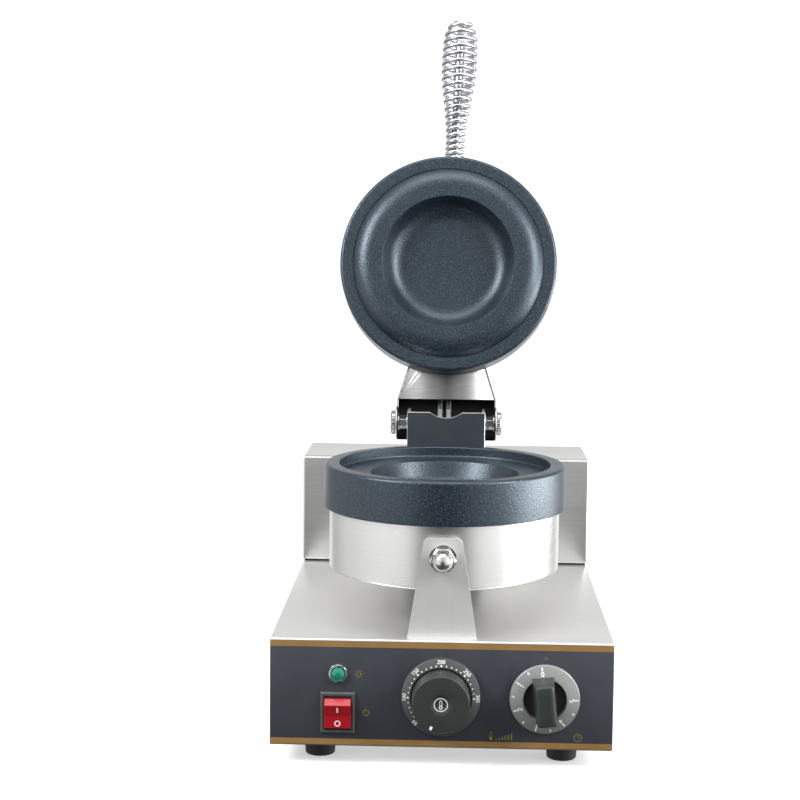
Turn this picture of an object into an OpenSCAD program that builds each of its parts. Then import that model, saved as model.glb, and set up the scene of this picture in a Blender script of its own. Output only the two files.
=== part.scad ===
// Round single-head donut press: base with controls, heated lower drum,
// hinged upper drum standing open. Millimetres, +Z up, front faces -Y.
// Origin: centre of the footprint, on the surface the feet stand on.

/* [Base] */
// Width of the base casing
base_w = 250; // [236:1:280]
// Depth of the base casing
base_d = 347; // [345:1:380]
// Height of the base casing
base_h = 79.5; // [76:0.5:100]
// Height of the rubber feet below the casing
foot_h = 15; // [10:1:25]
// Sheet thickness of the casings
sheet = 1.2; // [0.8:0.1:1.5]
// Height of the rear box above the base top
rear_h = 93.2; // [60:1:100]
// Depth of the rear box
rear_d = 83.7; // [70:1:84]

/* [Lower drum] */
// Distance from the front face to the drum axis
drum_back = 102.1; // [102:0.1:104]
// Gap between base top and drum underside
drum_gap = 33.6; // [26:0.2:50]
// Height of the lower drum, underside to parting face
drum_h = 81.2; // [78:0.2:100]
// Outer radius of the mould plate's rim
rim_r = 93.8; // [93.4:0.1:94.4]
// Height of the mould plate's dark skirt
rim_h = 33; // [31:0.5:36]
// Radius of the steel drum shell
shell_r = 89; // [88.6:0.1:89.1]
// Radius of the dish at its lip
dish_r = 57.6; // [56:0.2:59]
// Depth of each dish
dish_deep = 20; // [16:0.5:21]
// Depth of the lower plate's recess
recess = 8; // [7.9:0.1:8.6]

/* [Lid] */
// Distance from hinge axis to lid centre
hinge_l = 136.6; // [136:0.2:140]
// Height of the hinge axis above the parting face
hinge_up = 13.2; // [13:0.1:14]
// Lean of the open lid past vertical
lean = 11.5; // [5:0.5:13]
// Thickness of the lid, face to top
lid_t = 70; // [68:1:76]
// Turn of the handle about the lid's own axis
handle_skew = 2.2; // [0:0.1:4]
// Length of the coiled grip
grip_l = 134; // [125:1:140]
// Wire thickness of the grip
grip_wire = 4; // [3:0.1:4.1]

/* [Front bracket] */
// Width at its foot
brk_w0 = 50.7; // [46:0.1:56]
// Width at its top
brk_w1 = 27.7; // [26:0.1:32]
// Height above the base top
brk_h = 73.7; // [70:0.1:80]

/* [Controls] */
// Sideways distance of lamp, switch and timer from the centre
ctl_x = 75; // [72:1:80]
// Reach of the knobs in front of the casing
knob_reach = 24; // [20:1:26]
// Diameter of the temperature dial
dial_d = 57.4; // [54:0.2:60]
// Diameter of the timer disc
timer_d = 51; // [48:0.2:54]

/* [Hidden] */
$fn = 64;
e = 0.05;
yf = -base_d / 2;              // front face
yb = base_d / 2;               // back face
z0 = foot_h;                   // casing underside
zt = foot_h + base_h;          // casing top
py = yf + drum_back;           // drum axis
zh = zt + drum_gap;            // drum underside
zr = zh + drum_h;              // parting face
hy = py + hinge_l;             // hinge axis
hz = zr + hinge_up;
face = -(hinge_up - 0.3);      // lid face below the axis when closed
rim_in = 81.8;
step_r = 81.1;
ov = 0.6;                      // overlay thickness
yo = yf - ov;                  // overlay front
kf = yf - knob_reach;          // front of the knobs
ry = yb - rear_d;              // rear box front
lamp_z = z0 + 54;
rock_z = z0 + 25;
dial_z = z0 + 39;
time_z = z0 + 38.5;
stud_z = zt + 59;
cap_x = 15.5;                  // where the capillary rises to the drum
cap_y = py - 9;
post_f = 18;                   // post web in front of the axis
post_b = 12;                   // post flanges behind the axis
post_w = 33;                   // half width of the post
post_s = 2.5;
cheek = 43;                    // half width over the cheeks
rod_t = 51;                    // height of the grip rod above the lid face
grip_0 = hinge_l + 92.4;

// ---------- shared shapes ----------
function arcp(cx, cy, r, a0, a1, n = 6) =
    [for (i = [0:n]) [cx + r * cos(a0 + (a1 - a0) * i / n), cy + r * sin(a0 + (a1 - a0) * i / n)]];

module box(a, b) { translate(a) cube(b - a); }
module ycyl(r, a, b, x, z) { translate([x, a, z]) rotate([-90, 0, 0]) cylinder(r = r, h = b - a); }
module xcyl(r, a, b, y, z) { translate([a, y, z]) rotate([0, 90, 0]) cylinder(r = r, h = b - a); }
module zcyl(r, a, b, x, y) { translate([x, y, a]) cylinder(r = r, h = b - a); }
module hex(af, h) { cylinder(d = af / cos(30), h = h, $fn = 6); }
module link(a, b, r) {
    v = b - a; l = norm(v);
    translate(a) rotate([0, acos(v.z / l), atan2(v.y, v.x)]) cylinder(r = r, h = l);
}
module path(p, r, turn = 0) {
    for (i = [0:len(p) - 2]) link(p[i], p[i + 1], r);
    for (i = [1:1:len(p) - 2]) translate(p[i]) rotate([0, 0, turn]) sphere(r = r * 1.15);
}
// machine screw pointing down from z, head above
module screw(r, hr, hh, len) {
    cylinder(r = hr, h = hh);
    translate([0, 0, -len]) cylinder(r = r, h = len + e);
}
module nut(af, h, r) { difference() { hex(af, h); translate([0, 0, -1]) cylinder(r = r, h = h + 2); } }
// lid frame: closed attitude about the hinge axis, then swung open
module lid() { translate([0, hy, hz]) rotate([-(90 + lean), 0, 0]) children(); }
// drum axis in the lid frame, z from the lid face
module lid_drum() { lid() translate([0, -hinge_l, face]) children(); }
module drum() { translate([0, py, zr]) children(); }
module three(r, a = 90) { for (i = [0:2]) rotate([0, 0, a + 120 * i]) translate([r, 0, 0]) children(); }

// ---------- base ----------
top_bolts = [[-13, yf + 19.5], [13, yf + 19.5], [-41, hy - 9], [41, hy - 9], [-41, hy + 7], [41, hy + 7]];
sx = [-ctl_x, 0, ctl_x];
ctl_holes = [[-14, 0], [14, 0]];

module panel_cuts(a, b) {
    ycyl(5.2, a, b, -ctl_x, lamp_z);
    box([-ctl_x - 11, a, rock_z - 13.9], [-ctl_x + 11, b, rock_z + 13.9]);
    ycyl(5, a, b, 0, dial_z);
    ycyl(5, a, b, ctl_x, time_z);
    for (s = [-14, 14]) { ycyl(2.1, a, b, s, dial_z); ycyl(2.1, a, b, ctl_x + s, time_z); }
}
module base_shell() {
    color([0.78, 0.78, 0.77]) difference() {
        box([-base_w / 2, yf, z0], [base_w / 2, yb, zt]);
        box([-base_w / 2 + sheet, yf + sheet, z0 - 1], [base_w / 2 - sheet, yb - sheet, zt - sheet]);
        panel_cuts(yf - 1, yf + 3);
        for (p = top_bolts) zcyl(2.6, zt - 3, zt + 1, p.x, p.y);
        zcyl(9, zt - 3, zt + 1, 0, py);
        zcyl(5, zt - 3, zt + 1, cap_x, cap_y);
        zcyl(9, zt - 3, zt + 1, -1.75, hy);
        zcyl(10, zt - 3, zt + 1, 60, yb - 43);
        ycyl(8.1, yb - 3, yb + 1, -85, z0 + 30);
        for (s = [-1, 1], y = [-120, 0, 120]) xcyl(2.1, s * base_w / 2 - 3, s * base_w / 2 + 3, y, z0 + 7);
    }
}
module base_bottom() {
    a = base_w / 2 - sheet - 0.15; b = base_d / 2 - sheet - 0.15;
    color([0.62, 0.63, 0.63]) difference() {
        union() {
            box([-a, -b, z0 + 1], [a, b, z0 + 1 + sheet]);
            for (s = [-1, 1]) box([s > 0 ? a - sheet : -a, -b, z0 + 1], [s > 0 ? a : -a + sheet, b, z0 + 14]);
        }
        for (s = [-1, 1], y = [-120, 0, 120]) xcyl(2.1, s * base_w / 2 - 6, s * base_w / 2 + 3, y, z0 + 7);
        for (x = [-90, 90], y = [yf + 30, yb - 30]) zcyl(2.6, z0, z0 + 4, x, y);
        zcyl(2.6, z0, z0 + 4, -105, 110);
        for (x = [-60:24:60], y = [-60:40:60]) box([x - 8, y - 1.5, z0], [x + 8, y + 1.5, z0 + 4]);
    }
}
module bottom_screws() {
    color([0.7, 0.7, 0.72]) for (s = [-1, 1], y = [-120, 0, 120])
        translate([s * base_w / 2, y, z0 + 7]) rotate([0, s * 90, 0]) difference() {
            screw(2, 3.8, 1.6, 8);
            translate([-3, -0.4, 1]) cube([6, 0.8, 1]);
            translate([-0.4, -3, 1]) cube([0.8, 6, 1]);
        }
}
module control_panel() {
    color([0.28, 0.29, 0.33]) difference() {
        box([-base_w / 2 + 0.6, yo, z0 + 0.8], [base_w / 2 - 0.6, yf, zt - 1.2]);
        panel_cuts(yo - 1, yf + 1);
    }
}
module rubber_feet() {
    color([0.16, 0.16, 0.17]) for (x = [-90, 90], y = [yf + 30, yb - 30]) translate([x, y, 0])
        rotate_extrude() polygon([[4.6, 0], [10.4, 0], [11, 0.6], [12, z0 - 1.5], [12, z0 + 1], [2.55, z0 + 1],
            [2.55, 5], [4.6, 5]]);
}
module foot_screws() {
    color([0.7, 0.7, 0.72]) for (x = [-90, 90], y = [yf + 30, yb - 30]) translate([x, y, 0]) {
        translate([0, 0, 2]) cylinder(r = 4.4, h = 3);
        translate([0, 0, 4.9]) cylinder(r = 2.5, h = z0 + 4);
        translate([0, 0, z0 + 1 + sheet]) nut(8, 4, 2.5);
    }
}
module rear_box_shell() {
    a = base_w / 2; zb = zt + 1.5; zu = zt + rear_h;
    color([0.74, 0.74, 0.73]) difference() {
        union() {
            difference() {
                box([-a, ry, zb], [a, yb, zu]);
                box([-a + sheet, ry + sheet, zb - 1], [a - sheet, yb + 1, zu - sheet]);
            }
            difference() {
                box([-a + 0.6, ry + 0.6, zt], [a - 0.6, yb - 3, zt + 2.7]);
                box([-a + 14, ry + 14, zt - 1], [a - 14, yb + 1, zt + 4]);
            }
            for (s = [-1, 1]) box([s > 0 ? a - 12 : -a + 0.6, yb - 2.8, zt + 3], [s > 0 ? a - 0.6 : -a + 12, yb - 1.6, zu - 0.6]);
        }
        for (x = [-118, 118], z = [zt + 16, zu - 14]) ycyl(1.9, yb - 5, yb + 1, x * (a - 7) / 118, z);
    }
}
module rear_box_back() {
    a = base_w / 2 - sheet - 0.2; zu = zt + rear_h - sheet - 0.3;
    color([0.7, 0.7, 0.7]) difference() {
        box([-a, yb - 1.55, zt + 0.3], [a, yb - 0.35, zu]);
        for (x = [-118, 118], z = [zt + 16, zt + rear_h - 14]) ycyl(1.9, yb - 5, yb + 1, x * (base_w / 2 - 7) / 118, z);
        for (i = [0:5], s = [-1, 1]) box([s * 45 - 30, yb - 3, zt + 26 + i * 8], [s * 45 + 30, yb + 1, zt + 29 + i * 8]);
    }
}
module rear_box_screws() {
    color([0.7, 0.7, 0.72]) for (s = [-1, 1], z = [zt + 16, zt + rear_h - 14])
        translate([s * (base_w / 2 - 7), yb - 0.35, z]) rotate([-90, 0, 0]) difference() {
            screw(1.8, 3.4, 1.7, 7);
            translate([-3, -0.4, 1]) cube([6, 0.8, 1]);
            translate([-0.4, -3, 1]) cube([0.8, 6, 1]);
        }
}
module cable_gland() {
    color([0.12, 0.12, 0.13]) translate([-85, yb, z0 + 30]) rotate([-90, 0, 0]) {
        difference() {
            union() { translate([0, 0, -13.5]) cylinder(r = 8, h = 14); hex(22, 5); }
            translate([0, 0, -20]) cylinder(r = 4.5, h = 40);
        }
        difference() {
            translate([0, 0, 5.05]) rotate_extrude() polygon(concat([[4.5, 0], [10.4, 0], [10.4, 10]],
                arcp(5.4, 10, 5, 0, 90, 5), [[6.4, knob_reach - 5.05], [4.5, knob_reach - 5.05]]));
            for (i = [0:11]) rotate([0, 0, 30 * i]) translate([11.3, 0, 4]) cylinder(r = 1.6, h = 9);
        }
    }
}
module gland_locknut() {
    color([0.12, 0.12, 0.13]) translate([-85, yb - sheet - 6, z0 + 30]) rotate([-90, 0, 0]) nut(22, 5.9, 8.03);
}
module terminal_block() {
    color([0.85, 0.83, 0.76]) difference() {
        box([-40, yb - 53, zt + 0.1], [20, yb - 31, zt + 20]);
        for (i = [0:4]) {
            zcyl(2.4, zt + 10, zt + 21, -34 + 12 * i, yb - 48);
            zcyl(2.4, zt + 10, zt + 21, -34 + 12 * i, yb - 36);
        }
    }
}
module earth_stud() {
    color([0.72, 0.6, 0.3]) translate([-105, 110, z0 + 1 + sheet]) {
        translate([0, 0, -sheet - 2]) cylinder(r = 4.5, h = 2);
        translate([0, 0, -sheet - 0.1]) cylinder(r = 2.5, h = 18);
        translate([0, 0, 0.1]) nut(8, 4, 2.5);
        translate([0, 0, 6]) nut(8, 4, 2.5);
    }
}

// ---------- controls ----------
module front(x, z) { translate([x, yo, z]) rotate([90, 0, 0]) children(); }   // z points to the user
module pilot_lamp_bezel() {
    color([0.8, 0.85, 0.84]) front(-ctl_x, lamp_z) rotate_extrude()
        polygon([[4.5, -12], [5.1, -12], [5.1, 0.02], [7.1, 0.02], [7.1, 1.1], [6.5, 2.1], [5.6, 2.3], [5.2, 1.5], [5.2, 0.9], [4.5, 0.9]]);
}
module pilot_lamp_lens() {
    color([0.1, 0.65, 0.52]) front(-ctl_x, lamp_z) rotate_extrude()
        polygon(concat([[0, -6], [4.4, -6], [4.4, 0.95], [5.1, 0.95], [5.1, 1.6]], arcp(0, -5.4, 8.65, 54, 90, 6)));
}
module pilot_lamp_body() {
    color([0.15, 0.15, 0.16]) front(-ctl_x, lamp_z) {
        translate([0, 0, -27]) cylinder(r = 4.4, h = 14.8);
        translate([0, 0, -5.3]) nut(14, 3, 5.12);
        for (s = [-1, 1]) translate([s * 2.2 - 0.4, -1.2, -33]) cube([0.8, 2.4, 6.1]);
    }
}
rk_p = 3.8;        // rocker pivot behind the overlay front
module rocker_frame() {
    color([0.2, 0.21, 0.21]) front(-ctl_x, rock_z) difference() {
        union() {
            translate([-12.75, -15.5, 0.02]) difference() {
                cube([25.5, 31, 2.2]);
                for (s = [0, 1]) translate([0, 31 * s, 2.2]) rotate([45, 0, 0]) translate([-1, -0.8, -0.8]) cube([28, 1.6, 1.6]);
                for (s = [0, 1]) translate([25.5 * s, 0, 2.2]) rotate([0, 45, 0]) translate([-0.8, -1, -0.8]) cube([1.6, 33, 1.6]);
            }
            translate([-10.9, -13.8, -24]) cube([21.8, 27.6, 24.1]);
        }
        translate([-10, -12.7, -15]) cube([20, 25.4, 20]);
        translate([-11.5, 0, -rk_p]) rotate([0, 90, 0]) cylinder(r = 1.2, h = 23);
    }
    color([0.75, 0.6, 0.3]) front(-ctl_x, rock_z) for (s = [-8, 0, 8])
        translate([-3.2, s - 0.4, -32]) cube([6.4, 0.8, 7.98]);
}
// side outline of the rocker about its pivot: [outwards, up]
rk = [[8, 0], [9.3, 9.2], [3.5, 11.7], [-1.5, 10.8], [-6, 4], [-6, -4], [-1.5, -10.8], [3.5, -11.7], [9.3, -9.2]];
module rocker() {
    color([0.8, 0.12, 0.17]) front(-ctl_x, rock_z) translate([0, 0, -rk_p]) rotate([12, 0, 0]) difference() {
        rotate([0, -90, 0]) translate([0, 0, -9.7]) linear_extrude(19.4) polygon(rk);
        rotate([0, 90, 0]) translate([0, 0, -12]) cylinder(r = 1.25, h = 24);
    }
}
module rocker_pin() {
    color([0.75, 0.75, 0.76]) front(-ctl_x, rock_z) translate([-10.85, 0, -rk_p]) rotate([0, 90, 0]) cylinder(r = 1.2, h = 21.7);
}
module thermostat_dial() {
    color([0.55, 0.56, 0.56]) front(0, dial_z) difference() {
        rotate_extrude() polygon([[8, 0.02], [dial_d / 2, 0.02], [dial_d / 2, 5.2], [dial_d / 2 - 0.9, 6.6], [dial_d / 2 - 2, 7],
            [22.2, 7], [22.2, 3], [8, 3]]);
        for (s = [-14, 14]) translate([s, 0, -1]) cylinder(r = 2.1, h = 9);
    }
}
module thermostat_knob() {
    color([0.2, 0.21, 0.21]) front(0, dial_z) difference() {
        rotate_extrude() polygon(concat([[3, 5.3], [21.3, 5.3]], arcp(20, kf_z - 1.2, 1.2, 4, 90, 4),
            arcp(0, kf_z + 17.6, 19.1, 293, 270, 4), [[0, kf_z - 4], [3, kf_z - 4]]));
        translate([2.4, -4, 5]) cube([1, 8, 0.2]);
    }
}
kf_z = knob_reach - ov;
module thermostat_shaft() {
    color([0.75, 0.75, 0.76]) front(0, dial_z) translate([0, 0, -14]) cylinder(r = 3, h = 14 + kf_z - 4.1);
}
module thermostat_body() {
    color([0.86, 0.85, 0.8]) front(0, dial_z) difference() {
        union() {
            translate([-21, -20, -ov - sheet - 33]) cube([42, 40, 32.6]);
            translate([0, 0, -ov - sheet - 0.5]) cylinder(r = 4.85, h = 3.6);
        }
        translate([0, 0, -16]) cylinder(r = 3.05, h = 24);
        for (s = [-14, 14]) translate([s, 0, -12]) cylinder(r = 2, h = 14);
    }
}
module control_screws() {
    color([0.7, 0.7, 0.72]) {
        for (s = [-14, 14]) front(s, dial_z) translate([0, 0, 3]) screw(2, 3.4, 1.6, 11);
        for (s = [-14, 14]) front(ctl_x + s, time_z) translate([0, 0, -ov]) rotate([0, 0, 0]) translate([0, 0, -8]) cylinder(r = 2, h = 8.4);
    }
}
blade = [[-21, 3], [-15, kf_z - 1.4], [-13.6, kf_z], [13.6, kf_z], [15, kf_z - 1.4], [21, 3]];
module timer_knob() {
    color([0.42, 0.43, 0.43]) front(ctl_x, time_z) rotate([0, 0, 6]) difference() {
        union() {
            rotate_extrude() polygon(concat([[0, 0.45], [timer_d / 2, 0.45], [timer_d / 2, 3.4]], arcp(timer_d / 2 - 2.4, 3.6, 2.4, 10, 90, 4),
                [[15.6, 6], [15, 2.2], [0, 2.2]]));
            intersection() {
                rotate([90, 0, 90]) translate([0, 0, -10]) linear_extrude(20) polygon(blade);
                rotate([90, 0, 0]) translate([0, 0, -22]) linear_extrude(44) polygon([[-8.2, 2], [-6.4, kf_z - 1], [-5.6, kf_z + 0.1], [5.6, kf_z + 0.1], [6.4, kf_z - 1], [8.2, 2]]);
            }
        }
        translate([0, 0, -1]) cylinder(r = 3, h = kf_z - 2);
    }
}
module timer_shaft() {
    color([0.75, 0.75, 0.76]) front(ctl_x, time_z) translate([0, 0, -14]) cylinder(r = 3, h = 14 + kf_z - 3.1);
}
module timer_body() {
    color([0.86, 0.85, 0.8]) front(ctl_x, time_z) difference() {
        union() {
            translate([-24, -22, -ov - sheet - 42]) cube([48, 44, 41.6]);
            translate([0, 0, -ov - sheet - 0.5]) cylinder(r = 4.85, h = 1.9);
        }
        translate([0, 0, -16]) cylinder(r = 3.05, h = 24);
        for (s = [-14, 14]) translate([s, 0, -12]) cylinder(r = 2, h = 14);
    }
}
module capillary() {
    color([0.75, 0.5, 0.3]) {
        path([[8, yf + 35.2, dial_z + 12], [12, yf + 48, 82], [cap_x, cap_y, 88], [cap_x, cap_y, 150], [20, py + 4, 166], [21, py + 8, zr - 38.2]], 1.2);
        xcyl(3, -22, 22, py + 8, zr - 38.2);
    }
}
module wiring_harness() {
    color([0.75, 0.3, 0.2]) {
        path([[-85, yb - 15, z0 + 30], [-80, 130, z0 + 38], [40, 126, z0 + 55], [57, yb - 43, z0 + 69], [57, yb - 43, zt + 13], [20.6, yb - 42, zt + 13]], 2.4);
        path([[63, yb - 43, zt + 6], [63, yb - 43, z0 + 65], [63, 60, z0 + 45], [-60, -60, z0 + 45], [-75, yf + 44, z0 + 35], [-ctl_x, yf + 33, rock_z + 4]], 2.4);
        path([[-ctl_x, yf + 33, rock_z - 5], [-60, yf + 46, z0 + 18], [60, yf + 56, z0 + 20], [70, yf + 44.4, time_z - 10]], 2, 90);
    }
}

// ---------- lower drum ----------
module lower_plate() {
    df = -recess - dish_deep;
    color([0.3, 0.34, 0.39]) drum() difference() {
        union() {
            rotate_extrude($fn = 96) polygon(concat([[0, df]], arcp(38, df + 12, 12, -90, -34, 6), [[dish_r, -recess]],
                arcp(rim_in - 1.5, -recess + 1.5, 1.5, -90, 0, 3), [[rim_in, -0.8], [rim_in + 0.8, 0]],
                arcp(rim_r - 3.4, -2.6, 2.6, 90, 4, 5),
                [[rim_r, -rim_h + 0.6], [rim_r - 0.6, -rim_h], [shell_r + 0.3, -rim_h], [shell_r + 0.3, -28], [87, -28], [87, -17], [63, -17], [60.5, -18], [46, df - 7], [0, df - 7]]));
            three(80.5) translate([0, 0, -25.1]) cylinder(r = 4.5, h = 9);
            three(30) translate([0, 0, -43]) cylinder(r = 5, h = 10);
        }
        three(80.5) translate([0, 0, -26]) cylinder(r = 2, h = 8);
        three(30) translate([0, 0, -44]) cylinder(r = 2.5, h = 7);
    }
}
module lower_housing() {
    color([0.8, 0.8, 0.79]) difference() {
        translate([0, py, zh]) rotate_extrude($fn = 96) polygon(concat([[0, 0]], arcp(shell_r - 2, 2, 2, -90, 0, 4),
            [[shell_r, drum_h - 28.3], [shell_r - sheet, drum_h - 28.3]], arcp(shell_r - sheet - 0.8, 2, 0.8, 0, -90, 3), [[0, sheet]]));
        ycyl(5.1, py - shell_r - 5, py - shell_r + 10, 0, stud_z);
        ycyl(5.1, py + shell_r - 10, py + shell_r + 5, 0, stud_z);
        zcyl(6.2, zh - 1, zh + 3, 0, py);
        zcyl(3, zh - 1, zh + 3, cap_x, cap_y);
        translate([0, py, zh]) three(30) translate([0, 0, -1]) cylinder(r = 2.6, h = 4);
    }
}
module ring_element() {
    rotate([0, 0, 96]) rotate_extrude(angle = 348) translate([70, 0]) circle(r = 4);
    for (a = [100, 80]) rotate([0, 0, a]) translate([70, 0, 0]) cylinder(r = 3.2, h = 24);
}
module lower_element() { color([0.45, 0.44, 0.42]) drum() translate([0, 0, -21.05]) mirror([0, 0, 1]) ring_element(); }
module clamp_ring() {
    difference() {
        cylinder(r = 85.5, h = 2);
        translate([0, 0, -1]) cylinder(r = 58, h = 4);
        three(80.5) translate([0, 0, -1]) cylinder(r = 2.2, h = 4);
        for (a = [100, 80]) rotate([0, 0, a]) translate([70, 0, -1]) cylinder(r = 4.6, h = 4);
    }
}
module lower_element_clamp() { color([0.66, 0.66, 0.66]) drum() translate([0, 0, -27.15]) clamp_ring(); }
module lower_insulation() {
    color([0.86, 0.84, 0.76]) difference() {
        translate([0, py, zh + sheet + 0.1]) cylinder(r = shell_r - sheet - 1, h = 12);
        zcyl(6.2, zh, zh + 20, 0, py);
        zcyl(3, zh, zh + 20, cap_x, cap_y);
        translate([0, py, zh]) three(30) cylinder(r = 3, h = 20);
    }
}
module lower_plate_screws() {
    color([0.7, 0.7, 0.72]) {
        drum() three(80.5) translate([0, 0, -27.2]) mirror([0, 0, 1]) screw(2, 3.8, 2.4, 8);
        translate([0, py, zh]) three(30) mirror([0, 0, 1]) screw(2.5, 4.6, 2.8, drum_h - 38);
    }
}
module front_bracket() {
    a = atan((brk_w0 - brk_w1) / 2 / brk_h); r = 5;
    cx = brk_w1 / 2 + r * tan(a) - r / cos(a); cz = brk_h - r;
    color([0.72, 0.72, 0.71]) difference() {
        union() {
            translate([0, yf + 10, zt]) rotate([90, 0, 0]) linear_extrude(2) {
                polygon([[-brk_w0 / 2, 0], [brk_w0 / 2, 0], [cx + r * cos(a), cz + r * sin(a)], [cx, brk_h], [-cx, brk_h], [-cx - r * cos(a), cz + r * sin(a)]]);
                for (s = [-1, 1]) translate([s * cx, cz]) circle(r = r);
            }
            box([-22, yf + 9, zt], [22, yf + 27, zt + 2]);
        }
        ycyl(5.1, yf, yf + 12, 0, stud_z);
        for (x = [-13, 13]) zcyl(2.6, zt - 1, zt + 3, x, yf + 19.5);
    }
}
module deck_screws(i0, i1, h) {
    for (i = [i0:i1]) translate([top_bolts[i].x, top_bolts[i].y, zt + h]) {
        difference() { screw(2.5, 4.4, 2.6, h + 10); translate([0, 0, 1.2]) hex(3, 2); }
        translate([0, 0, -h - sheet - 4.1]) nut(8, 4, 2.5);
    }
}
module front_bracket_screws() { color([0.7, 0.7, 0.72]) deck_screws(0, 1, 2); }
module front_stud() {
    color([0.72, 0.72, 0.73]) {
        difference() {
            ycyl(5, yf, py - shell_r + 14, 0, stud_z);
        }
        translate([0, py - shell_r + 2.4, stud_z]) rotate([-90, 0, 0]) nut(17, 8, 5);
        difference() { ycyl(9, yf + 10.05, py - shell_r - 0.05, 0, stud_z); ycyl(5, yf, yf + 20, 0, stud_z); }
    }
}
module front_cap_nut() {
    color([0.8, 0.8, 0.8]) translate([0, yf + 8, stud_z]) rotate([90, 0, 0]) difference() {
        union() {
            cylinder(r = 10, h = 1.4);
            translate([0, 0, 1.3]) intersection() {
                hex(17, 8.7);
                rotate_extrude() polygon([[0, 0], [8.9, 0], [10, 1.1], [10, 7.3], [8.2, 8.7], [0, 8.7]]);
            }
            translate([0, 0, 9.9]) rotate_extrude() polygon(concat([[0, 0], [7.6, 0], [7.6, 1]], arcp(0, 1, 7.6, 0, 90, 8)));
        }
        translate([0, 0, -1]) cylinder(r = 5, h = 9.1);
    }
}
module rear_standoff() {
    color([0.7, 0.7, 0.7]) difference() {
        ycyl(8, py + shell_r + 0.05, hy - post_f - 0.05, 0, stud_z);
        ycyl(5.1, py + shell_r - 1, hy, 0, stud_z);
    }
}
module rear_stud() {
    color([0.72, 0.72, 0.73]) {
        ycyl(5, py + shell_r - 12, hy - post_f + post_s + 9, 0, stud_z);
        translate([0, py + shell_r - 10.4, stud_z]) rotate([-90, 0, 0]) nut(17, 8, 5);
        translate([0, hy - post_f + post_s + 0.05, stud_z]) rotate([-90, 0, 0]) nut(17, 6, 5);
    }
}
module wire_sleeve() {
    color([0.9, 0.88, 0.8]) difference() { zcyl(6, zt - 16, zh + 20, 0, py); zcyl(4.5, zt - 17, zh + 21, 0, py); }
}
module grommet(ro, ri) {
    rotate_extrude() polygon([[ri, -3.2], [ro + 1.6, -3.2], [ro + 1.6, -1.25], [ro - 0.05, -1.25], [ro - 0.05, 0.05], [ro + 1.6, 0.05], [ro + 1.6, 1.9], [ri, 1.9]]);
}
module grommets() {
    color([0.1, 0.1, 0.1]) {
        translate([0, py, zt]) grommet(9, 6.05);
        translate([cap_x, cap_y, zt]) grommet(5, 1.25);
        translate([-1.75, hy, zt]) grommet(9, 6);
        translate([60, yb - 43, zt]) grommet(10, 6);
    }
}

// ---------- hinge ----------
module hinge_post() {
    y1 = hy - post_f; y2 = hy + post_b; zu = hz + 11;
    color([0.22, 0.25, 0.28]) difference() {
        union() {
            box([-post_w, y1, zt], [post_w, y1 + post_s, zu]);
            for (s = [-1, 1]) {
                box([s > 0 ? post_w - post_s : -post_w, y1, zt], [s > 0 ? post_w : -post_w + post_s, y2, zu]);
                box([s > 0 ? post_w - 1 : -post_w - 15, y1 + 3, zt], [s > 0 ? post_w + 15 : -post_w + 1, y2, zt + post_s]);
            }
        }
        translate([0, y1 - 5, zu + 17.5]) rotate([-90, 0, 0]) cylinder(r = 22.1, h = 12);
        xcyl(3.02, -60, 60, hy, hz);
        ycyl(5.1, y1 - 1, y1 + 5, 0, stud_z);
        for (i = [2:5]) zcyl(2.6, zt - 1, zt + 4, top_bolts[i].x, top_bolts[i].y);
    }
}
module hinge_post_screws() { color([0.7, 0.7, 0.72]) deck_screws(2, 5, post_s); }
module sides() { for (s = [0, 1]) mirror([s, 0, 0]) translate([0, hy, hz]) rotate([0, 90, 0]) children(); }  // z = outwards
module hinge_bolts() {
    color([0.74, 0.74, 0.74]) sides() {
        translate([0, 0, 22]) cylinder(r = 3, h = 22);
        difference() {
            translate([0, 0, cheek + 0.3]) rotate_extrude() polygon([[0, 0], [9.6, 0], [10.5, 0.8], [10.5, 2.8], [9.2, 4], [0, 4]]);
            for (i = [0:17]) rotate([0, 0, 20 * i]) translate([11.1, 0, cheek]) cylinder(r = 1.1, h = 5);
            translate([0, 0, cheek + 1.8]) hex(5, 4);
        }
    }
}
module hinge_nuts() {
    color([0.7, 0.7, 0.7]) sides() {
        difference() { translate([0, 0, post_w + 0.05]) cylinder(r = 6, h = 1.1); cylinder(r = 3, h = 60); }
        translate([0, 0, post_w + 1.2]) nut(10, 6, 3);
        difference() { translate([0, 0, post_w + 7.25]) cylinder(r = 7, h = 1.1); cylinder(r = 3, h = 60); }
    }
}
module hinge_locknuts() { color([0.7, 0.7, 0.7]) sides() translate([0, 0, post_w - post_s - 6.05]) nut(10, 6, 3); }
lead_x = [-5.5, 2];
module heater_leads() { color([0.8, 0.78, 0.74]) for (x = lead_x) zcyl(1.95, zt - 18, hz - 3.5, x, hy); }
module lid_leads() {
    color([0.8, 0.78, 0.74]) for (x = lead_x) lid()
        path([[x, -1.4, 1.8], [x, -12, 27], [x, -30, 33], [x, -46, face + rod_t], [x, -58, face + rod_t]], 1.95);
}
// plan outlines of the neck, [x, distance from the axis]
function plan(o) = [[-cheek + o, -20], [cheek - o, -20], [cheek - o, 21.6 - o * 0.16], [30.7 - o * 1.05, 60], [-30.7 + o * 1.05, 60], [-cheek + o, 21.6 - o * 0.16]];
module neck_plan(o) { translate([0, 0, -60]) linear_extrude(160) mirror([0, 1]) polygon(plan(o)); }
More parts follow.
